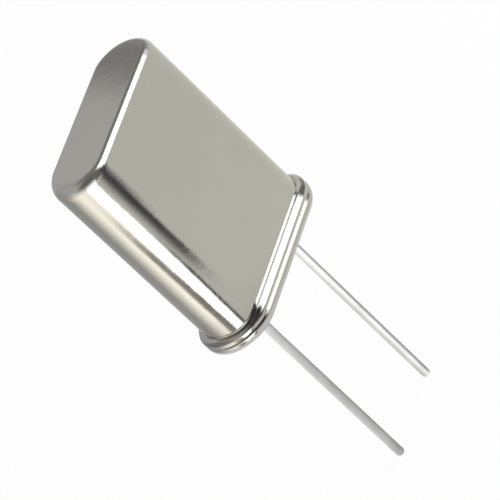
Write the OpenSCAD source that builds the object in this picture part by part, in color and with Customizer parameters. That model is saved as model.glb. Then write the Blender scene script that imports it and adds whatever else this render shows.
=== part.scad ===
// Two-lead quartz crystal unit in a tall welded metal can.
// Millimetres. +Z is up, through the middle of the can. X runs along the lead pitch.
// The origin is the middle of the seating plane, the flat rim under the base.
// The can, the base and the flanges are all stadiums: straight sides and half-round ends.

/* [Can] */
// Width of the can over its half-round ends
can_width = 10.2; // [9.8:0.1:11.5]
// Thickness of the can from broad face to broad face
can_thickness = 3.7; // [3.4:0.1:4.4]
// Height of the closed top over the seating plane
can_height = 13; // [12.4:0.1:14]
// Thickness of the drawn sheet
can_wall = 0.25; // [0.15:0.01:0.35]
// Outer rounding between the upright wall and the top
top_rounding = 0.54; // [0.4:0.02:0.8]
// Inner rounding under the top
inner_rounding = 0.3; // [0.1:0.02:0.4]

/* [Flanges] */
// How far both flanges stand out from the can's wall
flange_overhang = 0.39; // [0.36:0.01:0.5]
// Thickness of the can's flange, where it is folded out and welded down
can_flange_thickness = 0.28; // [0.26:0.01:0.4]
// Thickness of the base's flange, from the seating plane to the weld seam
base_flange_thickness = 0.7; // [0.6:0.02:0.9]
// Rounding of the can flange's upper rim
can_rim_rounding = 0.2; // [0.1:0.01:0.2]
// Rounding of the can flange's lower rim, which leaves the weld groove
seam_rounding = 0.06; // [0.02:0.01:0.06]
// Rounding of the base flange's upper rim
shoulder_rounding = 0.2; // [0.1:0.01:0.24]
// Rounding of the base flange's lower rim
base_rim_rounding = 0.34; // [0.1:0.02:0.34]

/* [Step over the can's flange] */
// How far the step stands out from the can's wall
step_overhang = 0.264; // [0.24:0.002:0.3]
// Height of the step's upright side over the can's flange
step_height = 0.027; // [0.01:0.001:0.1]
// Rounding of the step's rim
step_rounding = 0.14; // [0.1:0.01:0.16]
// Hollow rounding where the can's wall turns into the step
root_rounding = 0.33; // [0.24:0.01:0.4]

/* [Base] */
// Height over the seating plane of the boss that fills the can's mouth
boss_height = 1.5; // [1.3:0.1:2]
// Gap all round between the boss and the inside of the can
boss_gap = 0.05; // [0.02:0.01:0.1]
// Rounding of the boss's upper edge
boss_rounding = 0.2; // [0.1:0.02:0.3]
// Depth of the pressed hollow under the base
hollow_depth = 0.3; // [0.15:0.05:0.4]
// Flat rim left round the hollow, measured at its rounded outer edge
rim_land = 0.45; // [0.3:0.05:0.6]

/* [Glass seals] */
// Diameter of each glass bead
bead_diameter = 1.5; // [1.3:0.05:1.8]
// Height to which the glass creeps up and down the wire
bead_creep = 0.15; // [0.08:0.01:0.18]
// Width of the glass lip at the end of that creep
bead_lip = 0.05; // [0.03:0.01:0.08]

/* [Leads] */
// Distance between the two leads
lead_pitch = 5.08; // [4.7:0.02:5.3]
// Length of each lead below the seating plane
lead_length = 12.8; // [3:0.1:20]
// Diameter of the bare wire
wire_diameter = 0.43; // [0.38:0.01:0.46]
// Thickness of the tin on the outer length
tin_thickness = 0.025; // [0.01:0.005:0.05]
// Rounding of the tinned tip
tip_rounding = 0.18; // [0.06:0.01:0.19]
// Height over the seating plane at which the tin has run out
tin_end = 0; // [0:0.01:0.08]
// Length over which the tin thins out below that
tin_runout = 0.65; // [0.6:0.05:1]
// Height of each inner post over the boss
post_height = 0.85; // [0.7:0.05:1.2]

/* [Support springs] */
// Width of the spring strip
spring_width = 1; // [0.7:0.05:1.2]
// Thickness of the spring strip
spring_thickness = 0.12; // [0.08:0.01:0.16]
// Inner radius of the strip's bends
bend_radius = 0.18; // [0.1:0.02:0.24]
// Gap between the strip's lower end and the glass lip
spring_foot_gap = 0.07; // [0.03:0.01:0.15]
// Height of the post's end over the strip's first bend
spring_step = 0.05; // [0:0.01:0.1]
// How far the blank's edge reaches past the strip's inner face
edge_reach = 0.16; // [0.1:0.01:0.2]
// Gap between the blank's flat faces and each side of the slot
slot_side_gap = 0.03; // [0.02:0.01:0.06]
// Gap between the blank's edge and each end of the slot
slot_end_gap = 0.16; // [0.1:0.01:0.3]
// Length of the strip left over the slot
strip_end = 0.5; // [0.3:0.05:0.8]
// Rounding of the strip's upper corners
strip_rounding = 0.25; // [0.1:0.05:0.3]

/* [Quartz blank] */
// Diameter of the blank
blank_diameter = 8; // [7.4:0.1:8.4]
// Thickness of the blank
blank_thickness = 0.2; // [0.16:0.01:0.3]
// Chamfer round the blank's edge
blank_chamfer = 0.05; // [0.02:0.01:0.07]
// Gap between the blank's lowest point and the spring strips
blank_lift = 0.6; // [0.3:0.1:1]

/* [Electrodes] */
// Diameter of each round electrode
electrode_diameter = 4.6; // [3:0.1:5.5]
// Width of the track from an electrode to the blank's edge
track_width = 0.9; // [0.6:0.05:1]
// Thickness of the metal film
film_thickness = 0.02; // [0.01:0.005:0.03]

/* [Cement] */
// Diameter of each drop of conductive cement
drop_diameter = 0.9; // [0.7:0.05:1.1]

/* [Hidden] */
$fn = 96;

LEFT = -1;
RIGHT = 1;
FRONT = -1;
BACK = 1;
over = 0.2;                                         // how far cutters pass the surface they cut

spine = (can_width - can_thickness) / 2;            // half the straight length of every stadium
can_r = can_thickness / 2;
can_inner_r = can_r - can_wall;
flange_r = can_r + flange_overhang;
flange_top = base_flange_thickness + can_flange_thickness;

// The step's rim and the root are two arcs that touch. These are their middles.
step_bend = [can_r + step_overhang - step_rounding, flange_top + step_height];
root_bend = [
    can_r + root_rounding,
    step_bend[1] + sqrt(pow(step_rounding + root_rounding, 2) - pow(can_r + root_rounding - step_bend[0], 2))
];
boss_r = can_inner_r - boss_gap;
hollow_r = flange_r - base_rim_rounding - rim_land;

lead_x = lead_pitch / 2;
wire_r = wire_diameter / 2;
tin_r = wire_r + tin_thickness;
bead_r = bead_diameter / 2;
bead_top = boss_height + bead_creep;
post_top = boss_height + post_height;

// The strip rises outside the post, turns outwards over it, and rises again at the blank's edge.
foot_x = lead_x + wire_r;
foot_z = bead_top + spring_foot_gap;
bend_outer = bend_radius + spring_thickness;
shelf_bottom = post_top - spring_step + bend_radius;
shelf_top = shelf_bottom + spring_thickness;

blank_r = blank_diameter / 2;
blank_z = shelf_top + blank_lift + blank_r;
strip_x = blank_r - edge_reach;                     // the strip's inner face beside the blank
bend_x = strip_x - bend_radius;
slot_half_width = blank_thickness / 2 + film_thickness + slot_side_gap;
slot_half_length = sqrt(pow(blank_r, 2) - pow(strip_x, 2)) + slot_end_gap;
strip_top = blank_z + slot_half_length + strip_end;
electrode_r = electrode_diameter / 2;
drop_r = drop_diameter / 2;
drop_x = strip_x + spring_thickness / 2;

// ---- helpers ----

// The sliver between a square corner and its rounding. toward says which way the metal lies.
module corner_sliver(corner, radius, toward) {
    translate(corner)
        scale([toward[0], toward[1]])
            difference() {
                translate([-over, -over]) square(radius + over);
                translate([radius, radius]) circle(radius);
                translate([radius, -2 * over]) square([radius, radius + 2 * over]);
                translate([-2 * over, radius]) square([radius + 2 * over, radius]);
            }
}

// Sweeps a section, drawn in radius and height, round the stadium.
module round_the_stadium() {
    for (side = [LEFT, RIGHT])
        translate([side * spine, 0, 0])
            rotate([0, 0, -90 * side])
                rotate_extrude(angle = 180) children();
    rotate([90, 0, 90])
        linear_extrude(2 * spine, center = true) {
            children();
            mirror([1, 0]) children();
        }
}

// ---- the can ----

// The wall swells out through the root, over the step's rim and down to the flange.
module step_section() {
    translate([0, base_flange_thickness])
        square([can_r + step_overhang, step_bend[1] - base_flange_thickness]);
    translate(step_bend) circle(step_rounding);
    difference() {
        polygon([[can_r, step_bend[1]], step_bend, root_bend, [can_r, root_bend[1]]]);
        translate(root_bend) circle(root_rounding);
    }
}

module can_flange_section() {
    difference() {
        translate([0, base_flange_thickness]) square([flange_r, can_flange_thickness]);
        corner_sliver([flange_r, flange_top], can_rim_rounding, [-1, -1]);
        corner_sliver([flange_r, base_flange_thickness], seam_rounding, [-1, 1]);
    }
}

module can_section() {
    hollow_top = can_height - can_wall;
    difference() {
        union() {
            translate([0, base_flange_thickness])
                square([can_r, can_height - base_flange_thickness]);
            step_section();
            can_flange_section();
        }
        corner_sliver([can_r, can_height], top_rounding, [-1, -1]);
        difference() {
            translate([-over, 0]) square([can_inner_r + over, hollow_top]);
            corner_sliver([can_inner_r, hollow_top], inner_rounding, [-1, -1]);
        }
    }
}

module can() {
    color([0.72, 0.71, 0.68]) round_the_stadium() can_section();
}

// ---- the base ----

module base_section() {
    difference() {
        union() {
            square([flange_r, base_flange_thickness]);
            square([boss_r, boss_height]);
        }
        corner_sliver([flange_r, 0], base_rim_rounding, [-1, 1]);
        corner_sliver([flange_r, base_flange_thickness], shoulder_rounding, [-1, -1]);
        corner_sliver([boss_r, boss_height], boss_rounding, [-1, -1]);
        translate([-over, -over]) square([hollow_r + over, hollow_depth + over]);
    }
}

module base() {
    color([0.70, 0.69, 0.66])
        difference() {
            round_the_stadium() base_section();
            for (side = [LEFT, RIGHT])
                translate([side * lead_x, 0, -over])
                    cylinder(r = bead_r, h = boss_height + 2 * over);
        }
}

// ---- the glass seals ----

module glass_seal(side) {
    creep_r = wire_r + bead_creep + bead_lip;
    color([0.16, 0.24, 0.30])
        translate([side * lead_x, 0, 0])
            rotate_extrude()
                polygon([
                    [wire_r, hollow_depth - bead_creep],
                    [wire_r + bead_lip, hollow_depth - bead_creep],
                    [creep_r, hollow_depth],
                    [bead_r, hollow_depth],
                    [bead_r, boss_height],
                    [creep_r, boss_height],
                    [wire_r + bead_lip, bead_top],
                    [wire_r, bead_top]
                ]);
}

// ---- the leads ----

// The wire is bare through the glass, and the tin thickens over its first length outside.
module lead_section() {
    difference() {
        polygon([
            [0, -lead_length], [tin_r, -lead_length], [tin_r, tin_end - tin_runout],
            [wire_r, tin_end], [wire_r, post_top], [0, post_top]
        ]);
        corner_sliver([tin_r, -lead_length], tip_rounding, [-1, 1]);
    }
}

module lead(side) {
    color([0.76, 0.76, 0.75])
        translate([side * lead_x, 0, 0]) rotate_extrude() lead_section();
}

// ---- the support springs ----

// A quarter bend of the strip about the origin, from the start angle on.
module quarter_bend(start) {
    intersection() {
        difference() {
            circle(bend_outer);
            circle(bend_radius);
        }
        rotate(start) square(bend_outer);
    }
}

// The strip seen from the front, in x and z, for the right-hand side.
module spring_path() {
    bend_z = post_top - spring_step;
    translate([foot_x, foot_z]) square([spring_thickness, bend_z - foot_z]);
    translate([foot_x + bend_outer, bend_z]) quarter_bend(90);
    translate([foot_x + bend_outer, shelf_bottom])
        square([bend_x - foot_x - bend_outer, spring_thickness]);
    translate([bend_x, shelf_top + bend_radius]) quarter_bend(270);
    translate([strip_x, shelf_top + bend_radius])
        square([spring_thickness, strip_top - shelf_top - bend_radius]);
}

// The slot that the blank's edge stands in, with round ends.
module spring_slot() {
    straight = slot_half_length - slot_half_width;
    translate([strip_x - over, 0, blank_z])
        rotate([0, 90, 0])
            linear_extrude(spring_thickness + 2 * over) {
                square([2 * straight, 2 * slot_half_width], center = true);
                for (end = [-1, 1]) translate([end * straight, 0]) circle(slot_half_width);
            }
}

module strip_corners() {
    for (edge = [-1, 1])
        translate([strip_x - over, 0, 0])
            rotate([90, 0, 90])
                linear_extrude(spring_thickness + 2 * over)
                    corner_sliver([edge * spring_width / 2, strip_top], strip_rounding, [-edge, -1]);
}

module support_spring(side) {
    color([0.80, 0.70, 0.52])
        rotate([0, 0, side == LEFT ? 180 : 0])
            difference() {
                translate([0, spring_width / 2, 0])
                    rotate([90, 0, 0])
                        linear_extrude(spring_width) spring_path();
                spring_slot();
                strip_corners();
            }
}

// ---- the quartz blank and its electrodes ----

module blank_section() {
    half = blank_thickness / 2;
    polygon([
        [0, -half], [blank_r - blank_chamfer, -half], [blank_r, blank_chamfer - half],
        [blank_r, half - blank_chamfer], [blank_r - blank_chamfer, half], [0, half]
    ]);
}

module quartz_blank() {
    color([0.86, 0.88, 0.90])
        translate([0, 0, blank_z]) rotate([90, 0, 0]) rotate_extrude() blank_section();
}

// The front electrode's track runs to the left spring, and the back one's to the right.
module electrode(face) {
    track_end = blank_r - blank_chamfer - track_width / 10;
    inner = face == FRONT ? blank_thickness / 2 : -blank_thickness / 2 - film_thickness;
    color([0.90, 0.90, 0.88])
        translate([0, -inner, blank_z])
            rotate([90, 0, 0])
                linear_extrude(film_thickness) {
                    circle(electrode_r);
                    intersection() {
                        circle(track_end);
                        translate([face == FRONT ? -blank_r : 0, -track_width / 2])
                            square([blank_r, track_width]);
                    }
                }
}

// ---- the conductive cement ----

// A round drop that holds the blank's edge in the strip's slot.
module cement(side) {
    color([0.62, 0.62, 0.60])
        difference() {
            translate([side * drop_x, 0, blank_z]) sphere(drop_r);
            support_spring(side);
            quartz_blank();
            electrode(FRONT);
            electrode(BACK);
        }
}

can();
base();
glass_seal(LEFT);  // glass_seal_left
glass_seal(RIGHT);  // glass_seal_right
lead(LEFT);  // lead_left
lead(RIGHT);  // lead_right
support_spring(LEFT);  // support_spring_left
support_spring(RIGHT);  // support_spring_right
quartz_blank();
electrode(FRONT);  // electrode_front
electrode(BACK);  // electrode_back
cement(LEFT);  // cement_left
cement(RIGHT);  // cement_right
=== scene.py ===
"""The looks of a two-lead quartz crystal unit: a tall flat can, a welded double flange and tinned leads."""
import math

import bmesh
import bpy
from mathutils import Matrix, Quaternion, Vector


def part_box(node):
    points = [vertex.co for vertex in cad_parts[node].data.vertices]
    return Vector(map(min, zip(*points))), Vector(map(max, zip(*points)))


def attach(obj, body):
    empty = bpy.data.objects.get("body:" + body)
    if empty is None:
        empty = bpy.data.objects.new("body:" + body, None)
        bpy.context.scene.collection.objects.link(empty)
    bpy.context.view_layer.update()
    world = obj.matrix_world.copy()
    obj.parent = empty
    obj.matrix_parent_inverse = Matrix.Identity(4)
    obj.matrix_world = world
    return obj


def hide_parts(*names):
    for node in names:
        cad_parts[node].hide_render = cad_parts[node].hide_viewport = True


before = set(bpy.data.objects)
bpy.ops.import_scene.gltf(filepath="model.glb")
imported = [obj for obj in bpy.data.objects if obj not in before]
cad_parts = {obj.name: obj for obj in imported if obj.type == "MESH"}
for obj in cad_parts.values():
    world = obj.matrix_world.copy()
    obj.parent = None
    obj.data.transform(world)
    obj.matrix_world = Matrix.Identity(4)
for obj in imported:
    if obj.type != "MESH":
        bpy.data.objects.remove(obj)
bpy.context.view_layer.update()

# ---- sizes, in metres: what the frame gives, then the wall and rounding sizes ----

MM = 0.001

can_low, can_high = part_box("can")
base_low, base_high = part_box("base")
seal_low, seal_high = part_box("glass_seal_right")
lead_low, lead_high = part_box("lead_right")

CAN_TOP = can_high.z
SEAM = can_low.z                                    # where the can's flange meets the base's flange
FLANGE_R = can_high.y
SPINE = can_high.x - can_high.y                     # half the straight length of every stadium
BOSS_TOP = base_high.z

CAN_WALL = 0.25 * MM
OVERHANG = 0.39 * MM
CAN_R = FLANGE_R - OVERHANG
CAN_INNER_R = CAN_R - CAN_WALL
TOP_ROUNDING = 0.42 * MM                            # along the broad faces
END_ROUNDING = 0.70 * MM                            # at the middle of each half-round end
END_FULLNESS = 1.3                                  # the higher, the later the rounding grows round the end
INNER_ROUNDING = 0.3 * MM

ROOT_ROUNDING = 0.2 * MM                            # the hollow where the can's wall turns into the step
STEP_OVERHANG = 0.264 * MM
STEP_ROUNDING = 0.14 * MM
STEP_SLOPE = math.radians(30)                       # the step's side, its normal over the horizontal
STEP_BEND = 0.995 * MM                              # height of the centre of the step's rounding
ROOT_ACROSS = ROOT_ROUNDING - (STEP_OVERHANG - STEP_ROUNDING)
ROOT_REACH = ROOT_ROUNDING + STEP_ROUNDING          # between the centres of the root and the step
ROOT_END_R = CAN_R + ROOT_ROUNDING * (1 - ROOT_ACROSS / ROOT_REACH)
FLANGE_TOP = SEAM + 0.28 * MM
CAN_RIM_ROUNDING = 0.2 * MM
SEAM_ROUNDING = 0.04 * MM

RIM_PRESS = 0.36                                    # share of each height that the weld's rings press away
STEP_PRESS = 0.65
STEP_SPRING_BACK = 0.55                             # share of the step's press that the end's middle regains
ROOT_PRESS = 0.72                                   # how much tighter the root is round the ends
PRESS_BEGIN = 4                                     # degrees round the end at which all of them begin
RIM_PRESSED = 38                                    # and at which each has come to its full press
STEP_PRESSED = 48
ROOT_PRESSED = 22
SPRING_BACK_BEGIN = 52

BASE_RIM_ROUNDING = 0.34 * MM
LIP_R = FLANGE_R - 0.13 * MM                        # the base's welded lip, at the seam
LIP_LEAN = 0.08 * MM
LIP_RISE = 0.9                                      # share of that lean which is gone round the ends
LIP_RISEN = 20                                      # degrees round the end from which it is gone
LIP_FOOT = SEAM - 0.105 * MM
GROOVE_R = FLANGE_R - 0.075 * MM
GROOVE_Z = SEAM - 0.125 * MM
SHOULDER_Z = SEAM - 0.215 * MM
SHOULDER_ROUNDING = 0.09 * MM
BOSS_GAP = 0.05 * MM                                # between the base's boss and the can's wall
BOSS_R = CAN_INNER_R - BOSS_GAP
BOSS_ROUNDING = 0.2 * MM
SEAT_WIDTH = 0.45 * MM                              # the flat rim that the base stands on
HOLLOW_R = FLANGE_R - BASE_RIM_ROUNDING - SEAT_WIDTH
HOLLOW_DEPTH = 0.3 * MM

LEAD_X = (lead_low.x + lead_high.x) / 2
LEAD_TIP = lead_low.z
POST_TOP = lead_high.z
TIN_R = (lead_high.x - lead_low.x) / 2
TIN_THICKNESS = 0.025 * MM
WIRE_R = TIN_R - TIN_THICKNESS
TIN_RUNOUT = 0.65 * MM
TIP_ROUNDING = 0.18 * MM
BEAD_R = (seal_high.x - seal_low.x) / 2
CREEP = 0.15 * MM                                   # how far the glass creeps along the wire
CREEP_EDGE = 0.05 * MM                              # and how thick it ends there

CLOSE = MM / 1000                                   # how near two places are to be the same one
MERGE = MM / 10000
ROUNDING_STEPS = 12
END_STEPS = 72                                      # steps round each half-round end
WIRE_STEPS = 48
SHARP = math.radians(40)

# ---- camera ----

CAMERA_AZIMUTH = -40.06                             # degrees, 0 looks along +Y
CAMERA_ELEVATION = 31.35
CAMERA_ROLL = -46.51
CAMERA_DISTANCE = 200.5 * MM
VIEW_WIDTH = 25.14 * MM                             # width of the picture at the target
CAMERA_TARGET = Vector((0.585, 0.274, 0.961)) * MM


def add_camera():
    azimuth = math.radians(CAMERA_AZIMUTH)
    elevation = math.radians(CAMERA_ELEVATION)
    back = Vector((
        math.sin(azimuth) * math.cos(elevation),
        -math.cos(azimuth) * math.cos(elevation),
        math.sin(elevation),
    ))
    data = bpy.data.cameras.new("camera")
    data.sensor_width = 36
    data.lens = data.sensor_width * CAMERA_DISTANCE / VIEW_WIDTH
    data.clip_start = CAMERA_DISTANCE / 100
    data.clip_end = CAMERA_DISTANCE * 20
    camera = bpy.data.objects.new("camera", data)
    camera.location = CAMERA_TARGET + back * CAMERA_DISTANCE
    camera.rotation_mode = "QUATERNION"
    roll = Quaternion((0, 0, 1), math.radians(CAMERA_ROLL))
    camera.rotation_quaternion = (-back).to_track_quat("-Z", "Y") @ roll
    bpy.context.scene.collection.objects.link(camera)
    bpy.context.scene.camera = camera


# ---- material helpers ----

def add_node(tree, kind, settings=None, **inputs):
    """A node with its settings and its inputs, each a value or another node's output socket."""
    node = tree.nodes.new(kind)
    for name, value in (settings or {}).items():
        setattr(node, name, value)
    for name, value in inputs.items():
        socket = node.inputs[name.replace("_", " ")]
        if isinstance(value, bpy.types.NodeSocket):
            tree.links.new(value, socket)
        else:
            socket.default_value = value
    return node


def calculate(tree, operation, first, second=None):
    """A Math node of one or two inputs, each a number or another node's output socket."""
    node = add_node(tree, "ShaderNodeMath", {"operation": operation})
    for socket, value in zip(node.inputs, (first, second)):
        if isinstance(value, bpy.types.NodeSocket):
            tree.links.new(value, socket)
        elif value is not None:
            socket.default_value = value
    return node.outputs[0]


def mix_colours(tree, share, first, second):
    """The first colour where the share is 0 and the second where it is 1."""
    mix = add_node(tree, "ShaderNodeMix", {"data_type": "RGBA"}, Factor=share)
    for socket, colour in ((mix.inputs[6], first), (mix.inputs[7], second)):
        if isinstance(colour, bpy.types.NodeSocket):
            tree.links.new(colour, socket)
        else:
            socket.default_value = colour
    return mix.outputs[2]


def mix_shaders(tree, share, first, second):
    mix = tree.nodes.new("ShaderNodeMixShader")
    tree.links.new(share, mix.inputs[0])
    tree.links.new(first.outputs[0], mix.inputs[1])
    tree.links.new(second.outputs[0], mix.inputs[2])
    return mix


def start_material(name):
    material = bpy.data.materials.new(name)
    material.use_nodes = True
    material.node_tree.nodes.clear()
    return material, material.node_tree


def end_material(tree, shader):
    add_node(tree, "ShaderNodeOutputMaterial", Surface=shader.outputs[0])


def millimetres(tree):
    """The place on the piece, in millimetres from the seating plane's middle."""
    place = add_node(tree, "ShaderNodeTexCoord")
    scaled = add_node(tree, "ShaderNodeMapping", Vector=place.outputs["Object"], Scale=(1000, 1000, 1000))
    return scaled.outputs["Vector"]


def start_group(name, inputs, outputs):
    group = bpy.data.node_groups.new(name, "ShaderNodeTree")
    for label, kind in inputs:
        group.interface.new_socket(label, in_out="INPUT", socket_type=kind)
    for label, kind in outputs:
        group.interface.new_socket(label, in_out="OUTPUT", socket_type=kind)
    return group, group.nodes.new("NodeGroupInput"), group.nodes.new("NodeGroupOutput")


def metal_surface_group():
    """Tone, roughness and height of a formed metal surface: slow waves, fine grain and cloudy patches."""
    group, given, result = start_group(
        "metal_surface",
        [
            ("Place", "NodeSocketVector"),
            ("Light Tone", "NodeSocketColor"), ("Dark Tone", "NodeSocketColor"),
            ("Patch Size", "NodeSocketFloat"), ("Wave Size", "NodeSocketFloat"),
            ("Grain Size", "NodeSocketFloat"),
            ("Wave Height", "NodeSocketFloat"), ("Grain Height", "NodeSocketFloat"),
            ("Smoothest", "NodeSocketFloat"), ("Roughest", "NodeSocketFloat"),
        ],
        [("Tone", "NodeSocketColor"), ("Roughness", "NodeSocketFloat"), ("Height", "NodeSocketFloat")],
    )

    def noise(size, detail):
        return add_node(
            group, "ShaderNodeTexNoise", Vector=given.outputs["Place"],
            Scale=calculate(group, "DIVIDE", 1.0, given.outputs[size]), Detail=detail, Roughness=0.5,
        ).outputs["Fac"]

    patches = noise("Patch Size", 3)
    waves = noise("Wave Size", 1)
    grain = noise("Grain Size", 2)
    tone = mix_colours(group, patches, given.outputs["Dark Tone"], given.outputs["Light Tone"])
    roughness = add_node(
        group, "ShaderNodeMapRange", Value=grain, From_Min=0.3, From_Max=0.7,
        To_Min=given.outputs["Smoothest"], To_Max=given.outputs["Roughest"],
    )
    height = calculate(
        group, "ADD",
        calculate(group, "MULTIPLY", waves, given.outputs["Wave Height"]),
        calculate(group, "MULTIPLY", grain, given.outputs["Grain Height"]),
    )
    group.links.new(tone, result.inputs["Tone"])
    group.links.new(roughness.outputs["Result"], result.inputs["Roughness"])
    group.links.new(height, result.inputs["Height"])
    return group


def weld_mark_group():
    """The uneven squeeze line that the welding leaves along the seam of the two flanges."""
    group, given, result = start_group(
        "weld_mark",
        [("Place", "NodeSocketVector"), ("Level", "NodeSocketFloat"), ("Reach", "NodeSocketFloat")],
        [("Height", "NodeSocketFloat")],
    )
    parts = add_node(group, "ShaderNodeSeparateXYZ", Vector=given.outputs["Place"])
    off_seam = calculate(group, "ABSOLUTE", calculate(
        group, "SUBTRACT", parts.outputs["Z"], given.outputs["Level"],
    ))
    near = add_node(
        group, "ShaderNodeMapRange", {"interpolation_type": "SMOOTHSTEP"},
        Value=off_seam, From_Max=given.outputs["Reach"], To_Min=1.0, To_Max=0.0,
    )
    lumps = add_node(
        group, "ShaderNodeTexNoise", Vector=given.outputs["Place"], Scale=2.2, Detail=2.0, Roughness=0.5,
    )
    height = calculate(group, "MULTIPLY", near.outputs["Result"], lumps.outputs["Fac"])
    group.links.new(height, result.inputs["Height"])
    return group


METAL_SURFACE = metal_surface_group()
WELD_MARK = weld_mark_group()


def formed_metal(name, light, dark, weld=0.0, **values):
    """A metal whose tone, roughness and relief come from the shared groups. Heights are in micrometres."""
    material, tree = start_material(name)
    surface = add_node(tree, "ShaderNodeGroup", {"node_tree": METAL_SURFACE}, Place=millimetres(tree))
    surface.inputs["Light Tone"].default_value = (*light, 1)
    surface.inputs["Dark Tone"].default_value = (*dark, 1)
    for label, value in values.items():
        surface.inputs[label.replace("_", " ")].default_value = value
    height = surface.outputs["Height"]
    if weld:
        mark = add_node(
            tree, "ShaderNodeGroup", {"node_tree": WELD_MARK},
            Place=millimetres(tree), Level=SEAM / MM, Reach=0.22,
        )
        height = calculate(tree, "ADD", height, calculate(tree, "MULTIPLY", mark.outputs["Height"], weld))
    relief = add_node(tree, "ShaderNodeBump", Height=height, Strength=1.0, Distance=MM / 1000)
    shader = add_node(
        tree, "ShaderNodeBsdfPrincipled",
        Base_Color=surface.outputs["Tone"], Roughness=surface.outputs["Roughness"],
        Normal=relief.outputs["Normal"], Metallic=1.0,
    )
    end_material(tree, shader)
    return material


def can_plating():
    return formed_metal(
        "can_plating", light=(0.54, 0.53, 0.50), dark=(0.50, 0.49, 0.46), weld=30.0,
        Patch_Size=3.0, Wave_Size=1.6, Grain_Size=0.2, Wave_Height=8.0, Grain_Height=3.2,
        Smoothest=0.12, Roughest=0.17,
    )


def base_plating():
    return formed_metal(
        "base_plating", light=(0.53, 0.52, 0.49), dark=(0.48, 0.47, 0.44), weld=30.0,
        Patch_Size=1.5, Wave_Size=0.9, Grain_Size=0.1, Wave_Height=5.0, Grain_Height=1.5,
        Smoothest=0.13, Roughest=0.2,
    )


def tinned_wire():
    return formed_metal(
        "tinned_wire", light=(0.82, 0.82, 0.80), dark=(0.60, 0.60, 0.58),
        Patch_Size=1.1, Wave_Size=0.7, Grain_Size=0.16, Wave_Height=14.0, Grain_Height=3.0,
        Smoothest=0.24, Roughest=0.36,
    )


def spring_strip():
    return formed_metal(
        "spring_strip", light=(0.80, 0.68, 0.46), dark=(0.70, 0.58, 0.37),
        Patch_Size=0.8, Wave_Size=0.6, Grain_Size=0.05, Wave_Height=2.0, Grain_Height=0.8,
        Smoothest=0.22, Roughest=0.34,
    )


def silver_film():
    return formed_metal(
        "silver_film", light=(0.90, 0.89, 0.86), dark=(0.82, 0.81, 0.77),
        Patch_Size=1.2, Wave_Size=1.0, Grain_Size=0.06, Wave_Height=0.5, Grain_Height=0.5,
        Smoothest=0.15, Roughest=0.25,
    )


def seal_glass():
    material, tree = start_material("seal_glass")
    place = millimetres(tree)
    cloud = add_node(tree, "ShaderNodeTexNoise", Vector=place, Scale=2.5, Detail=3.0)
    tone = add_node(tree, "ShaderNodeValToRGB", Fac=cloud.outputs["Fac"])
    tone.color_ramp.elements[0].color = (0.012, 0.022, 0.028, 1)
    tone.color_ramp.elements[1].color = (0.035, 0.06, 0.07, 1)
    bubbles = add_node(tree, "ShaderNodeTexVoronoi", Vector=place, Scale=9.0)
    relief = add_node(
        tree, "ShaderNodeBump", Height=bubbles.outputs["Distance"], Strength=0.3, Distance=0.004 * MM,
    )
    shader = add_node(
        tree, "ShaderNodeBsdfPrincipled",
        Base_Color=tone.outputs["Color"], Roughness=0.08, IOR=1.52, Normal=relief.outputs["Normal"],
    )
    end_material(tree, shader)
    return material


def quartz():
    material, tree = start_material("quartz")
    lapping = add_node(tree, "ShaderNodeTexNoise", Vector=millimetres(tree), Scale=25.0, Detail=4.0)
    haze = add_node(tree, "ShaderNodeMapRange", Value=lapping.outputs["Fac"], To_Min=0.12, To_Max=0.3)
    relief = add_node(
        tree, "ShaderNodeBump", Height=lapping.outputs["Fac"], Strength=0.5, Distance=0.001 * MM,
    )
    shader = add_node(
        tree, "ShaderNodeBsdfPrincipled",
        Base_Color=(0.93, 0.95, 0.96, 1), Roughness=haze.outputs["Result"], IOR=1.544,
        Normal=relief.outputs["Normal"],
    )
    shader.inputs["Transmission Weight"].default_value = 1.0
    end_material(tree, shader)
    return material


def silver_cement():
    material, tree = start_material("silver_cement")
    flakes = add_node(tree, "ShaderNodeTexVoronoi", Vector=millimetres(tree), Scale=30.0)
    tone = add_node(tree, "ShaderNodeValToRGB", Fac=flakes.outputs["Distance"])
    tone.color_ramp.elements[0].color = (0.62, 0.61, 0.58, 1)
    tone.color_ramp.elements[1].color = (0.40, 0.39, 0.37, 1)
    relief = add_node(
        tree, "ShaderNodeBump", Height=flakes.outputs["Distance"], Strength=0.7, Distance=0.01 * MM,
    )
    shader = add_node(
        tree, "ShaderNodeBsdfPrincipled",
        Base_Color=tone.outputs["Color"], Roughness=0.6, Metallic=0.5, Normal=relief.outputs["Normal"],
    )
    end_material(tree, shader)
    return material


# ---- mesh helpers ----

def finish_piece(name, mesh, material, slot, *nodes):
    """Turns a bmesh into a smooth-shaded piece that stands for its CAD nodes."""
    bmesh.ops.recalc_face_normals(mesh, faces=mesh.faces)
    data = bpy.data.meshes.new(name)
    mesh.to_mesh(data)
    mesh.free()
    data.shade_smooth()
    data.set_sharp_from_angle(angle=SHARP)
    data.materials.append(material)
    piece = bpy.data.objects.new(name, data)
    bpy.context.scene.collection.objects.link(piece)
    weighted = piece.modifiers.new("even_shading", "WEIGHTED_NORMAL")
    weighted.keep_sharp = True
    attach(piece, "root")
    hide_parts(*nodes)


def draw_outline(mesh, corners, place):
    """An open outline of (across, up, radius) corners, set into the mesh by place(across, up)."""
    verts = [mesh.verts.new(place(across, up)) for across, up, radius in corners]
    for start, end in zip(verts, verts[1:]):
        mesh.edges.new((start, end))
    points = [Vector((across, up)) for across, up, radius in corners]
    for index, (across, up, radius) in enumerate(corners):
        if radius:
            turn = (points[index] - points[index - 1]).angle(points[index + 1] - points[index])
            bmesh.ops.bevel(
                mesh, geom=[verts[index]], offset=radius * math.tan(turn / 2), offset_type="OFFSET",
                segments=ROUNDING_STEPS, profile=0.5, affect="VERTICES", material=-1,
            )


def edges_of(geometry):
    return [item for item in geometry if isinstance(item, bmesh.types.BMEdge)]


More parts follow.
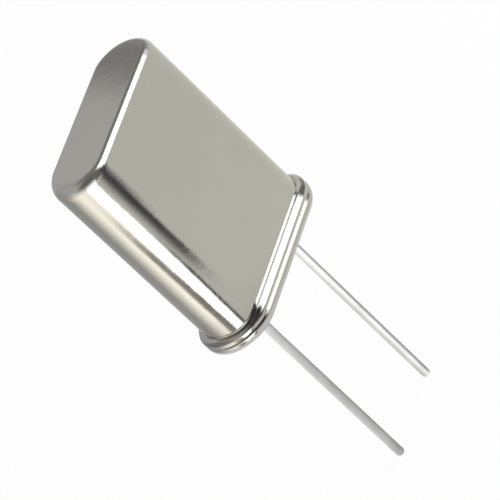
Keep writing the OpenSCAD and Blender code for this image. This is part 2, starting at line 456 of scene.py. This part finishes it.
def sweep_stadium(corners):
    """Sweeps an outline of radii and heights round a stadium, starting at the front of the right end."""
    mesh = bmesh.new()
    draw_outline(mesh, corners, lambda across, up: (SPINE, -across, up))
    edges = mesh.edges[:]
    for centre in (SPINE, -SPINE):
        turned = bmesh.ops.spin(
            mesh, geom=edges + list({vert for edge in edges for vert in edge.verts}),
            cent=(centre, 0, 0), axis=(0, 0, 1), angle=math.pi, steps=END_STEPS,
        )
        run = bmesh.ops.extrude_edge_only(mesh, edges=edges_of(turned["geom_last"]))["geom"]
        far = [item for item in run if isinstance(item, bmesh.types.BMVert)]
        shift = -2 * SPINE if centre > 0 else 2 * SPINE
        bmesh.ops.translate(mesh, verts=far, vec=(shift, 0, 0))
        edges = [edge for edge in edges_of(run) if all(vert in far for vert in edge.verts)]
    bmesh.ops.remove_doubles(mesh, verts=mesh.verts, dist=MERGE)
    bmesh.ops.dissolve_degenerate(mesh, edges=mesh.edges, dist=MERGE)
    return mesh


def revolve(corners, centre_x):
    """Turns an outline of radii and heights about an upright axis."""
    mesh = bmesh.new()
    draw_outline(mesh, corners, lambda across, up: (centre_x + across, 0, up))
    bmesh.ops.spin(
        mesh, geom=mesh.verts[:] + mesh.edges[:], cent=(centre_x, 0, 0), axis=(0, 0, 1),
        angle=2 * math.pi, steps=WIRE_STEPS, use_merge=True,
    )
    bmesh.ops.remove_doubles(mesh, verts=mesh.verts, dist=MERGE)
    bmesh.ops.dissolve_degenerate(mesh, edges=mesh.edges, dist=MERGE)
    return mesh


# ---- the pieces ----

def ramp_up(value, begin, end):
    """Runs smoothly from 0 to 1 while the value goes from begin to end."""
    share = min(1, max(0, (value - begin) / (end - begin)))
    return share * share * (3 - 2 * share)


def beyond_spine(place):
    """How far a place lies along X in a half-round end. It is 0 between the ends."""
    return max(0, abs(place.x) - SPINE)


def stadium_radius(place):
    return math.hypot(beyond_spine(place), place.y)


def end_turn(place):
    """How far round an end a place is, in degrees: 0 at the broad faces, 90 at the end's middle."""
    return math.degrees(math.atan2(beyond_spine(place), abs(place.y)))


def move_out(place, grown):
    """Moves a place in a half-round end straight out or in, to another radius."""
    out = stadium_radius(place)
    centre_x = math.copysign(SPINE, place.x)
    place.x = centre_x + (place.x - centre_x) * grown / out
    place.y *= grown / out


def root_corner():
    """Where the wall would meet the slope between the root and the step unrounded, and that slope."""
    slope = math.acos(ROOT_ACROSS / ROOT_REACH)     # the slope's normal over the horizontal
    bend = STEP_BEND + math.sqrt(ROOT_REACH ** 2 - ROOT_ACROSS ** 2)
    return bend - ROOT_ROUNDING * math.tan(slope / 2), slope


def foot_corners():
    """Where the step's slope meets the flange's rounded rim, and where the tangents on either side meet."""
    slope = STEP_SLOPE
    down = Vector((math.sin(slope), -math.cos(slope)))
    bend = Vector((CAN_R + STEP_OVERHANG - STEP_ROUNDING, STEP_BEND))
    leave = bend + STEP_ROUNDING * Vector((math.cos(slope), math.sin(slope)))
    centre = Vector((FLANGE_R - CAN_RIM_ROUNDING, FLANGE_TOP - CAN_RIM_ROUNDING))
    along = (centre - leave).dot(down)
    aside = (leave + down * along - centre).length
    foot = leave + down * (along - math.sqrt(CAN_RIM_ROUNDING ** 2 - aside ** 2))
    rise = math.atan2(foot.y - centre.y, foot.x - centre.x)
    rim = Vector((FLANGE_R, centre.y + CAN_RIM_ROUNDING * math.tan(rise / 2)))
    return leave, foot, rim


def loosen_top_rounding(mesh):
    """The punch leaves the top's rounding tight along the broad faces and fuller round the ends."""
    for vert in mesh.verts:
        out = stadium_radius(vert.co)
        beyond = beyond_spine(vert.co)
        drop = CAN_TOP - vert.co.z
        if drop < TOP_ROUNDING + CLOSE and out > CAN_R - TOP_ROUNDING - CLOSE and beyond > 0:
            fullness = (beyond / out) ** END_FULLNESS
            rounding = TOP_ROUNDING + (END_ROUNDING - TOP_ROUNDING) * fullness
            move_out(vert.co, CAN_R - (CAN_R - out) * rounding / TOP_ROUNDING)
            vert.co.z = CAN_TOP - drop * rounding / TOP_ROUNDING


def press_flange(mesh, root_z, foot_z):
    """The weld's rings press the can's flange thinner round the ends and its step nearly flat."""
    rim_z = SEAM + SEAM_ROUNDING
    root_top = root_z + ROOT_ROUNDING
    for vert in mesh.verts:
        out = stadium_radius(vert.co)
        if beyond_spine(vert.co) == 0 or out < CAN_R - CLOSE or not rim_z < vert.co.z < root_top:
            continue
        turn = end_turn(vert.co)
        sprung_back = STEP_SPRING_BACK * ramp_up(turn, SPRING_BACK_BEGIN, 90)
        step_keep = 1 - STEP_PRESS * (ramp_up(turn, PRESS_BEGIN, STEP_PRESSED) - sprung_back)
        rim_keep = 1 - RIM_PRESS * ramp_up(turn, PRESS_BEGIN, RIM_PRESSED)
        height = vert.co.z
        if out < ROOT_END_R - CLOSE:
            tight = 1 - ROOT_PRESS * ramp_up(turn, PRESS_BEGIN, ROOT_PRESSED)
            height = root_z + (height - root_z) * tight
            move_out(vert.co, CAN_R + (out - CAN_R) * tight)
        up_rim = min(height, foot_z) - rim_z
        up_step = min(max(height, foot_z), root_z) - foot_z
        up_root = max(height, root_z) - root_z
        vert.co.z = rim_z + up_rim * rim_keep + up_step * step_keep + up_root


def make_can():
    hollow_top = CAN_TOP - CAN_WALL
    root_z, steepest = root_corner()
    leave, foot, rim = foot_corners()
    turn = (steepest - STEP_SLOPE) / 2
    brow = leave + STEP_ROUNDING * math.tan(turn) * Vector((-math.sin(STEP_SLOPE), math.cos(STEP_SLOPE)))
    mesh = sweep_stadium([
        (0, CAN_TOP, 0),
        (CAN_R, CAN_TOP, TOP_ROUNDING),
        (CAN_R, root_z, ROOT_ROUNDING),
        (brow.x, brow.y, STEP_ROUNDING),
        (foot.x, foot.y, 0),
        (rim.x, rim.y, CAN_RIM_ROUNDING),
        (FLANGE_R, SEAM, SEAM_ROUNDING),
        (CAN_INNER_R, SEAM, 0),
        (CAN_INNER_R, hollow_top, INNER_ROUNDING),
        (0, hollow_top, 0),
    ])
    loosen_top_rounding(mesh)
    press_flange(mesh, root_z, foot.y)
    finish_piece("plated_can", mesh, can_plating(), "can_plating", "can")


def raise_lip(mesh):
    """The base's lip leans along the broad sides and stands nearly upright round the ends."""
    for vert in mesh.verts:
        at_seam = abs(vert.co.z - SEAM) < CLOSE and abs(stadium_radius(vert.co) - LIP_R) < CLOSE
        if at_seam and beyond_spine(vert.co) > 0:
            move_out(vert.co, LIP_R + LIP_RISE * LIP_LEAN * ramp_up(end_turn(vert.co), 0, LIP_RISEN))


def close_with_bores(mesh):
    """Closes the base's open top and its open hollow with flat faces, and joins the seals' bores between."""
    for height in (BOSS_TOP, HOLLOW_DEPTH):
        outline = [
            edge for edge in mesh.edges
            if edge.is_boundary and all(abs(vert.co.z - height) < CLOSE for vert in edge.verts)
        ]
        for x in (-LEAD_X, LEAD_X):
            circle = bmesh.ops.create_circle(
                mesh, segments=WIRE_STEPS, radius=BEAD_R, matrix=Matrix.Translation((x, 0, height)),
            )
            outline += list({edge for vert in circle["verts"] for edge in vert.link_edges})
        bmesh.ops.triangle_fill(mesh, edges=outline, use_beauty=True, normal=(0, 0, 1))
    for side in (-1, 1):
        rims = [edge for edge in mesh.edges if edge.is_boundary and edge.verts[0].co.x * side > 0]
        bmesh.ops.bridge_loops(mesh, edges=rims)


def make_base():
    mesh = sweep_stadium([
        (BOSS_R - 2 * BOSS_ROUNDING, BOSS_TOP, 0),
        (BOSS_R, BOSS_TOP, BOSS_ROUNDING),
        (BOSS_R, SEAM, 0),
        (LIP_R, SEAM, 0),
        (LIP_R + LIP_LEAN, LIP_FOOT, 0),
        (GROOVE_R, GROOVE_Z, 0),
        (FLANGE_R, SHOULDER_Z, SHOULDER_ROUNDING),
        (FLANGE_R, 0, BASE_RIM_ROUNDING),
        (HOLLOW_R, 0, 0),
        (HOLLOW_R, HOLLOW_DEPTH, 0),
    ])
    raise_lip(mesh)
    close_with_bores(mesh)
    finish_piece("plated_base", mesh, base_plating(), "base_plating", "base")


def make_glass_seals(material):
    edge_r = WIRE_R + CREEP_EDGE
    creep_r = edge_r + CREEP
    corners = [
        (WIRE_R, HOLLOW_DEPTH - CREEP, 0),
        (edge_r, HOLLOW_DEPTH - CREEP, 0),
        (creep_r, HOLLOW_DEPTH, 0),
        (BEAD_R, HOLLOW_DEPTH, 0),
        (BEAD_R, BOSS_TOP, 0),
        (creep_r, BOSS_TOP, 0),
        (edge_r, BOSS_TOP + CREEP, 0),
        (WIRE_R, BOSS_TOP + CREEP, 0),
        (WIRE_R, HOLLOW_DEPTH - CREEP, 0),
    ]
    for side, x in (("left", -LEAD_X), ("right", LEAD_X)):
        finish_piece("seal_" + side, revolve(corners, x), material, "seal_glass", "glass_seal_" + side)


def make_leads(material):
    corners = [
        (0, LEAD_TIP, 0),
        (TIN_R, LEAD_TIP, TIP_ROUNDING),
        (TIN_R, -TIN_RUNOUT, 0),
        (WIRE_R, 0, 0),
        (WIRE_R, POST_TOP, 0),
        (0, POST_TOP, 0),
    ]
    for side, x in (("left", -LEAD_X), ("right", LEAD_X)):
        finish_piece("wire_" + side, revolve(corners, x), material, "tinned_wire", "lead_" + side)


def dress_inner_parts():
    finishes = {
        "support_spring_left": spring_strip(),
        "quartz_blank": quartz(),
        "electrode_front": silver_film(),
        "cement_left": silver_cement(),
    }
    finishes["support_spring_right"] = finishes["support_spring_left"]
    finishes["electrode_back"] = finishes["electrode_front"]
    finishes["cement_right"] = finishes["cement_left"]
    for node, material in finishes.items():
        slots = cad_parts[node].data.materials
        slots.clear()
        slots.append(material)


# ---- floor, background and lamp ----

FLOOR_SIZE = 3000 * MM
FLOOR_GLOW = 0.92                                   # how much of the floor's white is free of shadow
FLOOR_TONE = 0.9
ROOM_LIGHT = 0.7


def seen_directly_or_in_gloss(tree):
    """1 for a ray that shows the background, by itself, in metal or through glass. 0 for one that lights."""
    path = add_node(tree, "ShaderNodeLightPath")
    first = calculate(tree, "MAXIMUM", path.outputs["Is Camera Ray"], path.outputs["Is Glossy Ray"])
    return calculate(tree, "MAXIMUM", first, path.outputs["Is Transmission Ray"])


def stage_object(name, mesh, material):
    data = bpy.data.meshes.new(name)
    mesh.to_mesh(data)
    mesh.free()
    data.shade_smooth()
    data.materials.append(material)
    board = bpy.data.objects.new(name, data)
    bpy.context.scene.collection.objects.link(board)
    return board


def add_floor():
    material, tree = start_material("pale_floor")
    matt = add_node(tree, "ShaderNodeBsdfDiffuse", Color=(FLOOR_TONE, FLOOR_TONE, FLOOR_TONE, 1))
    glow = add_node(tree, "ShaderNodeEmission", Color=(1, 1, 1, 1), Strength=1.0)
    share = calculate(tree, "MULTIPLY", seen_directly_or_in_gloss(tree), FLOOR_GLOW)
    end_material(tree, mix_shaders(tree, share, matt, glow))
    mesh = bmesh.new()
    bmesh.ops.create_grid(mesh, x_segments=1, y_segments=1, size=FLOOR_SIZE / 2)
    floor = stage_object("floor", mesh, material)
    floor.location = (0, 0, LEAD_TIP)


def add_room():
    world = bpy.data.worlds.new("room")
    world.use_nodes = True
    tree = world.node_tree
    tree.nodes.clear()
    strength = add_node(
        tree, "ShaderNodeMapRange", Value=seen_directly_or_in_gloss(tree), To_Min=ROOM_LIGHT, To_Max=1.0,
    )
    light = add_node(tree, "ShaderNodeBackground", Color=(1, 1, 1, 1), Strength=strength.outputs["Result"])
    add_node(tree, "ShaderNodeOutputWorld", Surface=light.outputs[0])
    bpy.context.scene.world = world


def direction(azimuth, elevation):
    """The way to a lamp or board. Azimuth 0 is the front, -Y, and 90 is the left, -X."""
    turn = math.radians(azimuth)
    rise = math.radians(elevation)
    return Vector((-math.sin(turn) * math.cos(rise), -math.cos(turn) * math.cos(rise), math.sin(rise)))


def add_softbox(name, azimuth, elevation, distance, width, height, brightness):
    data = bpy.data.lights.new(name, "AREA")
    data.shape = "RECTANGLE"
    data.size = width
    data.size_y = height
    data.energy = brightness * math.pi * width * height
    lamp = bpy.data.objects.new(name, data)
    way = direction(azimuth, elevation)
    lamp.location = way * distance
    lamp.rotation_mode = "QUATERNION"
    lamp.rotation_quaternion = way.to_track_quat("Z", "Y")
    lamp.visible_camera = False
    lamp.visible_glossy = False
    bpy.context.scene.collection.objects.link(lamp)


# ---- the boards round the part, which show only in its metal and glass ----

TENT_CENTRE = Vector((-SPINE, 0, 0))
TENT_R = 22 * MM
FRONT_WALL_SPAN = (-100, 38)                        # azimuths, in degrees
WALL_HEIGHTS = (-12 * MM, 1 * MM)                   # between which the walls' brightness changes evenly
WALL_GLOWS = (1.04, 0.96)                           # shares of it below and above them
WALL_FOOT_HEIGHTS = (-11.3 * MM, -10.5 * MM)        # between which a wall comes up from its foot's share
SLOPE_FOOT = 3.3 * MM                               # the slope that goes on from the front wall's top
SLOPE_TOP = 27 * MM
SLOPE_R = 200 * MM
SKY_R = 900 * MM
OVERHEAD_GLOW = 0.2
SOFT_ENDS = 0.25                                    # share of a long board's half length that fades out
TOP_BOARD_WAY = Vector((0.544, 0.665, 0.511))       # from the can's closed top
TOP_BOARD_DISTANCE = 24 * MM
TOP_BOARD_SIZE = 14 * MM
TOP_BOARD_TILT = math.radians(-30)
SCREEN_R = 1.2 * MM                                 # the close screen round each lead
SCREEN_TOP = -0.6 * MM
SCREEN_FOOT = LEAD_TIP + 0.02 * MM
SCREEN_HOLE_R = 0.02 * MM                           # in the middle of its foot
SCREEN_HEIGHTS = (-7 * MM, -3 * MM)                 # between which its brightness grows evenly
SCREEN_GLOWS = (1, 1.2)
SCREEN_FOOT_GLOW = 0.86

NEUTRAL = (1, 1, 1)
WARM = (1, 0.983, 0.915)
CREAM = (1, 0.97, 0.88)
COOL = (0.92, 0.92, 1.0)
BROWN = (1.0, 0.93, 0.85)


def show_only_in_gloss(board):
    board.visible_camera = False
    board.visible_diffuse = False
    board.visible_transmission = False
    board.visible_shadow = False


def azimuth_degrees(tree, centre=Vector((0, 0, 0))):
    """The azimuth of a place round the centre, from -180 at the back through the right, front and left."""
    place = add_node(tree, "ShaderNodeTexCoord")
    moved = add_node(tree, "ShaderNodeMapping", Vector=place.outputs["Object"], Location=-centre)
    parts = add_node(tree, "ShaderNodeSeparateXYZ", Vector=moved.outputs["Vector"])
    left = calculate(tree, "MULTIPLY", parts.outputs["X"], -1.0)
    front = calculate(tree, "MULTIPLY", parts.outputs["Y"], -1.0)
    return calculate(tree, "DEGREES", calculate(tree, "ARCTAN2", left, front))


def height_of_place(tree):
    place = add_node(tree, "ShaderNodeTexCoord")
    return add_node(tree, "ShaderNodeSeparateXYZ", Vector=place.outputs["Object"]).outputs["Z"]


def even_change(tree, value, span, numbers):
    """Runs evenly from one number to the other while the value goes over the span."""
    return add_node(
        tree, "ShaderNodeMapRange", Value=value,
        From_Min=span[0], From_Max=span[1], To_Min=numbers[0], To_Max=numbers[1],
    ).outputs["Result"]


def fade(tree, value, begin, end, first=0.0, last=1.0):
    """Runs smoothly from the first number to the last while the value goes from begin to end."""
    return add_node(
        tree, "ShaderNodeMapRange", {"interpolation_type": "SMOOTHSTEP"},
        Value=value, From_Min=begin, From_Max=end, To_Min=first, To_Max=last,
    ).outputs["Result"]


def soft_span(tree, value, begin, full, still_full, end):
    """1 between full and still_full, and 0 before begin and after end."""
    rising = fade(tree, value, begin, full)
    falling = fade(tree, value, still_full, end, 1.0, 0.0)
    return calculate(tree, "MULTIPLY", rising, falling)


def round_glow(tree, azimuth, stops):
    """A brightness and tint that change with azimuth. Each stop is (azimuth, brightness, tint)."""
    brightest = max(brightness for azimuth_stop, brightness, tint in stops)
    place = add_node(
        tree, "ShaderNodeMapRange", Value=azimuth, From_Min=-180.0, From_Max=180.0, To_Min=0.0, To_Max=1.0,
    )
    ramp = add_node(tree, "ShaderNodeValToRGB", Fac=place.outputs["Result"])
    elements = ramp.color_ramp.elements
    while len(elements) < len(stops):
        elements.new(0.5)
    for element, (azimuth_stop, brightness, tint) in zip(elements, stops):
        element.position = (azimuth_stop + 180) / 360
    for element, (azimuth_stop, brightness, tint) in zip(elements, stops):
        element.color = (*(channel * brightness / brightest for channel in tint), 1)
    return ramp.outputs["Color"], brightest


def end_glow(tree, colour, brightness, cover=None):
    """Ends a board's material as a plain glow, clear where the cover is 0."""
    glow = add_node(tree, "ShaderNodeEmission", Color=colour, Strength=brightness)
    if cover is not None:
        clear = tree.nodes.new("ShaderNodeBsdfTransparent")
        glow = mix_shaders(tree, cover, clear, glow)
    end_material(tree, glow)


def swing_edge(centre, places, start, end):
    """Swings a line through (radius, height) places round the centre, from one azimuth to another."""
    mesh = bmesh.new()
    verts = []
    for radius, height in places:
        first = centre + direction(start, 0) * radius
        verts.append(mesh.verts.new((first.x, first.y, height)))
    edges = [mesh.edges.new(ends) for ends in zip(verts, verts[1:])]
    bmesh.ops.spin(
        mesh, geom=verts + edges, cent=centre, axis=(0, 0, 1),
        angle=-math.radians(end - start), steps=max(2, round(abs(end - start) / 3)),
    )
    return mesh


def round_wall(radius, low, high, span):
    return swing_edge(TENT_CENTRE, [(radius, low), (radius, high)], *span)


def show_one_side(mesh, tree, toward, cover):
    """Turns the board's faces toward a place and hides it from whatever looks from the other side."""
    mesh.normal_update()
    away = [face for face in mesh.faces if face.normal.dot(toward - face.calc_center_median()) < 0]
    bmesh.ops.reverse_faces(mesh, faces=away)
    behind = add_node(tree, "ShaderNodeNewGeometry").outputs["Backfacing"]
    return calculate(tree, "MULTIPLY", cover, calculate(tree, "SUBTRACT", 1.0, behind))


WALL_STOPS = [
    (-180, 0.47, NEUTRAL),
    (-150, 0.62, NEUTRAL),
    (-110, 0.86, WARM),
    (-40, 0.84, WARM),
    (30, 0.82, WARM),
    (40, 0.84, NEUTRAL),
    (43, 2.6, NEUTRAL),
    (73, 2.6, NEUTRAL),
    (77, 1.6, CREAM),
    (104, 1.8, CREAM),
    (120, 1.2, CREAM),
    (134, 0.72, CREAM),
    (146, 0.47, NEUTRAL),
    (180, 0.47, NEUTRAL),
]


def add_wall(name, span, top, fade_begin, foot=1.0):
    """Part of the wall round the can, whose bright and dark stretches the upright sides reflect.

    It fades out from fade_begin to its top, in millimetres, and its brightness falls to foot at the floor.
    """
    material, tree = start_material(name)
    colour, brightest = round_glow(tree, azimuth_degrees(tree, TENT_CENTRE), WALL_STOPS)
    height = height_of_place(tree)
    slope = even_change(tree, height, WALL_HEIGHTS, [share * brightest for share in WALL_GLOWS])
    at_foot = fade(tree, height, *WALL_FOOT_HEIGHTS, foot, 1.0)
    brightness = calculate(tree, "MULTIPLY", slope, at_foot)
    cover = fade(tree, height, fade_begin * MM, top * MM, 1.0, 0.0)
    end_glow(tree, colour, brightness, cover)
    wall = round_wall(TENT_R, LEAD_TIP, top * MM, span)
    show_only_in_gloss(stage_object(name, wall, material))


def add_front_slope():
    """Rises gently from the front wall's top and hides the floor beyond it from the can's top edge."""
    material, tree = start_material("front_slope")
    colour, brightest = round_glow(tree, azimuth_degrees(tree, TENT_CENTRE), WALL_STOPS)
    end_glow(tree, colour, 0.97 * brightest)
    slope = swing_edge(TENT_CENTRE, [(TENT_R, SLOPE_FOOT), (SLOPE_R, SLOPE_TOP)], *FRONT_WALL_SPAN)
    show_only_in_gloss(stage_object("front_slope", slope, material))


def add_walls():
    add_wall("front_wall", FRONT_WALL_SPAN, top=3.4, fade_begin=3.2, foot=0.85)
    add_wall("left_wall", (38, 180), top=31, fade_begin=8, foot=0.8)
    add_wall("back_wall", (-180, -100), top=14, fade_begin=9)
    add_front_slope()


def add_flag(name, radius, tint, brightness, azimuths, heights, lean=0.0):
    """A dark board with soft edges, in front of the wall.

    Its four azimuths and four heights, in degrees and millimetres, say where it begins, is full, is still
    full and ends. Its sides lean by so many degrees of azimuth a millimetre upwards.
    """
    material, tree = start_material(name)
    height = height_of_place(tree)
    drift = calculate(tree, "MULTIPLY", height, lean / MM)
    azimuth = calculate(tree, "SUBTRACT", azimuth_degrees(tree, TENT_CENTRE), drift)
    across = soft_span(tree, azimuth, *azimuths)
    up = soft_span(tree, height, *(level * MM for level in heights))
    cover = calculate(tree, "MULTIPLY", across, up)
    end_glow(tree, (*tint, 1), brightness, cover)
    reach = [lean * level for level in (heights[0], heights[3])]
    span = (azimuths[0] + min(reach), azimuths[3] + max(reach))
    mesh = round_wall(radius * MM, heights[0] * MM, heights[3] * MM, span)
    show_only_in_gloss(stage_object(name, mesh, material))


def add_flags():
    add_flag(
        "dark_flag", 20, COOL, brightness=0.09,
        azimuths=(-11, -2, 6, 37), heights=(-6.8, -4.2, 20, 30), lean=-0.3,
    )
    add_flag(
        "corner_flag", 20.2, COOL, brightness=0.26,
        azimuths=(-30, -8, 0, 3), heights=(-2.5, 1.4, 14, 20),
    )
    add_flag(
        "thin_flag", 20.5, BROWN, brightness=0.0,
        azimuths=(26, 30.5, 35.5, 38.5), heights=(-12.7, -12.6, -6, -2.5), lean=-0.8,
    )
    add_flag(
        "edge_flag", 20.4, BROWN, brightness=0.06,
        azimuths=(76, 78, 81, 84), heights=(-12.7, -12.6, -7, -4), lean=0.5,
    )
    add_flag(
        "brown_flag", 20.5, BROWN, brightness=0.36,
        azimuths=(78, 82.5, 93, 101), heights=(-12.7, -12.6, -4, 1), lean=0.5,
    )


CEILING_TONE_AZIMUTHS = (32, 96)                    # between which a low ceiling's tone changes
CEILING_REACH = (3.5 * MM, 9 * MM)                  # and the distances between which it dims outwards
CEILING_SHARES = (1.1, 0.6)


def add_low_ceiling(name, centre, height, radii, tones, azimuths):
    """A dim board over the flange, which shows from below only.

    Its tone runs from the first at the front to the second at the left, and it dims outwards.
    """
    material, tree = start_material(name)
    azimuth = azimuth_degrees(tree, centre)
    middle = centre + Vector((0, 0, height * MM))
    place = add_node(tree, "ShaderNodeTexCoord")
    moved = add_node(tree, "ShaderNodeMapping", Vector=place.outputs["Object"], Location=-middle)
    away = add_node(tree, "ShaderNodeVectorMath", {"operation": "LENGTH"}, Vector=moved.outputs["Vector"])
    outward = fade(tree, away.outputs["Value"], *CEILING_REACH, *CEILING_SHARES)
    brightness = calculate(tree, "MULTIPLY", fade(tree, azimuth, *CEILING_TONE_AZIMUTHS, *tones), outward)
    cover = soft_span(tree, azimuth, *azimuths)
    places = [(radius * MM, height * MM) for radius in radii]
    mesh = swing_edge(centre, places, azimuths[0], azimuths[3])
    cover = show_one_side(mesh, tree, centre, cover)
    end_glow(tree, (1, 0.97, 0.94, 1), brightness, cover)
    show_only_in_gloss(stage_object(name, mesh, material))


def add_low_ceilings():
    add_low_ceiling(
        "left_ceiling", TENT_CENTRE, height=7, radii=(2, 20), tones=(0.06, 0.46),
        azimuths=(-13, 1, 170, 200),
    )
    add_low_ceiling(
        "right_ceiling", -TENT_CENTRE, height=4.5, radii=(6, 22), tones=(0.32, 0.32),
        azimuths=(-92, -82, -48, -40),
    )


def add_sky():
    """The dim room above, which the top, its rounded edge and the flange reflect."""
    stops = [
        (-180, 0.58, NEUTRAL),
        (-150, 0.56, NEUTRAL),
        (-138, 0.38, NEUTRAL),
        (-110, 0.38, NEUTRAL),
        (-90, 0.60, NEUTRAL),
        (-70, 0.70, NEUTRAL),
        (-30, 0.60, NEUTRAL),
        (-15, 0.22, NEUTRAL),
        (30, 0.22, NEUTRAL),
        (60, 0.40, NEUTRAL),
        (90, 0.62, NEUTRAL),
        (115, 0.72, NEUTRAL),
        (140, 0.60, NEUTRAL),
        (180, 0.58, NEUTRAL),
    ]
    material, tree = start_material("sky")
    colour, brightest = round_glow(tree, azimuth_degrees(tree), stops)
    place = add_node(tree, "ShaderNodeTexCoord")
    parts = add_node(tree, "ShaderNodeSeparateXYZ", Vector=place.outputs["Object"])
    overhead = fade(tree, parts.outputs["Z"], begin=0, end=0.8 * SKY_R)
    not_behind = fade(tree, parts.outputs["Y"], begin=0.05 * SKY_R, end=0.5 * SKY_R, first=1.0, last=0.0)
    dim = OVERHEAD_GLOW / brightest
    tone = mix_colours(tree, calculate(tree, "MULTIPLY", overhead, not_behind), colour, (dim, dim, dim, 1))
    end_glow(tree, tone, brightest)
    mesh = bmesh.new()
    bmesh.ops.create_uvsphere(mesh, u_segments=64, v_segments=32, radius=SKY_R)
    show_only_in_gloss(stage_object("sky", mesh, material))


def add_long_board(name, brightness, distance, rises, reach, soft):
    """A board along X with soft edges, which covers the rises over the front horizon, in degrees."""
    material, tree = start_material(name)
    place = add_node(tree, "ShaderNodeTexCoord")
    parts = add_node(tree, "ShaderNodeSeparateXYZ", Vector=place.outputs["Object"])
    half_height = distance * math.tan(math.radians(rises[1] - rises[0]) / 2)
    half_width = (reach[1] - reach[0]) / 2
    covers = []
    for axis, half, soft_share in (("X", half_width, SOFT_ENDS), ("Y", half_height, soft)):
        full = half - soft_share * half
        covers.append(soft_span(tree, parts.outputs[axis], -half, -full, full, half))
    cover = calculate(tree, "MULTIPLY", *covers)
    end_glow(tree, (1, 1, 1, 1), brightness, cover)
    mesh = bmesh.new()
    bmesh.ops.create_grid(mesh, x_segments=1, y_segments=1, size=1)
    bmesh.ops.scale(mesh, verts=mesh.verts, vec=(half_width, half_height, 1))
    board = stage_object(name, mesh, material)
    middle = math.radians(rises[0] + rises[1]) / 2
    board.location = (
        (reach[0] + reach[1]) / 2, -distance * math.cos(middle), CAN_TOP / 2 + distance * math.sin(middle),
    )
    board.rotation_euler = (math.pi / 2 - middle, 0, 0)
    show_only_in_gloss(board)


def add_long_boards():
    add_long_board(
        "bright_board", brightness=2.4, distance=250 * MM,
        rises=(11.5, 89), reach=(0 * MM, 235 * MM), soft=0.2,
    )
    add_long_board(
        "side_board", brightness=1.1, distance=253 * MM,
        rises=(11.5, 89), reach=(90 * MM, 560 * MM), soft=0.14,
    )
    add_long_board(
        "dim_board", brightness=0.28, distance=260 * MM,
        rises=(76, 126), reach=(-60 * MM, 600 * MM), soft=0.3,
    )


def add_top_board():
    """The board behind the can that the closed top reflects. It darkens to the right."""
    material, tree = start_material("top_board")
    place = add_node(tree, "ShaderNodeTexCoord")
    parts = add_node(tree, "ShaderNodeSeparateXYZ", Vector=place.outputs["Object"])
    tone = fade(tree, parts.outputs["X"], begin=1.4 * MM, end=4.6 * MM, first=0.63, last=0.30)
    end_glow(tree, (1, 1, 0.98, 1), tone)
    mesh = bmesh.new()
    bmesh.ops.create_grid(mesh, x_segments=1, y_segments=1, size=TOP_BOARD_SIZE / 2)
    board = stage_object("top_board", mesh, material)
    board.location = Vector((0, 0, CAN_TOP)) + TOP_BOARD_WAY * TOP_BOARD_DISTANCE
    board.rotation_euler = (TOP_BOARD_TILT, 0, 0)
    show_only_in_gloss(board)


def add_lead_screens():
    """A close round screen, closed at its foot, gives each lead its darker and brighter sides.

    It shows from inside only.
    """
    left = [
        (-180, 0.50, NEUTRAL),
        (-130, 0.32, NEUTRAL),
        (-90, 0.34, NEUTRAL),
        (-50, 0.42, NEUTRAL),
        (-14, 0.54, NEUTRAL),
        (16, 0.62, NEUTRAL),
        (45, 0.66, NEUTRAL),
        (100, 0.76, NEUTRAL),
        (145, 0.88, NEUTRAL),
        (180, 0.60, NEUTRAL),
    ]
    right = [
        (-180, 0.50, NEUTRAL),
        (-130, 0.36, NEUTRAL),
        (-90, 0.38, NEUTRAL),
        (-50, 0.42, NEUTRAL),
        (-20, 0.60, NEUTRAL),
        (12, 1.40, NEUTRAL),
        (45, 1.36, NEUTRAL),
        (74, 0.98, NEUTRAL),
        (110, 0.88, NEUTRAL),
        (145, 0.80, NEUTRAL),
        (180, 0.60, NEUTRAL),
    ]
    for name, x, stops in (("left_screen", -LEAD_X, left), ("right_screen", LEAD_X, right)):
        centre = Vector((x, 0, 0))
        material, tree = start_material(name)
        colour, brightest = round_glow(tree, azimuth_degrees(tree, centre), stops)
        height = height_of_place(tree)
        slope = even_change(tree, height, SCREEN_HEIGHTS, [share * brightest for share in SCREEN_GLOWS])
        at_foot = fade(
            tree, height, SCREEN_FOOT + 0.02 * MM, SCREEN_FOOT + 0.4 * MM, SCREEN_FOOT_GLOW, 1.0,
        )
        places = [(SCREEN_HOLE_R, SCREEN_FOOT), (SCREEN_R, SCREEN_FOOT), (SCREEN_R, SCREEN_TOP)]
        mesh = swing_edge(centre, places, -180, 180)
        cover = show_one_side(mesh, tree, centre + Vector((0, 0, LEAD_TIP / 2)), 1.0)
        brightness = calculate(tree, "MULTIPLY", slope, at_foot)
        end_glow(tree, colour, brightness, cover)
        show_only_in_gloss(stage_object(name, mesh, material))


bpy.context.scene.view_settings.view_transform = "Standard"
add_camera()
make_can()
make_base()
make_glass_seals(seal_glass())
make_leads(tinned_wire())
dress_inner_parts()
add_floor()
add_room()
add_softbox(
    "key_softbox", azimuth=-50, elevation=27, distance=150 * MM, width=150 * MM, height=160 * MM,
    brightness=2.4,
)
add_walls()
add_flags()
add_low_ceilings()
add_sky()
add_long_boards()
add_top_board()
add_lead_screens()
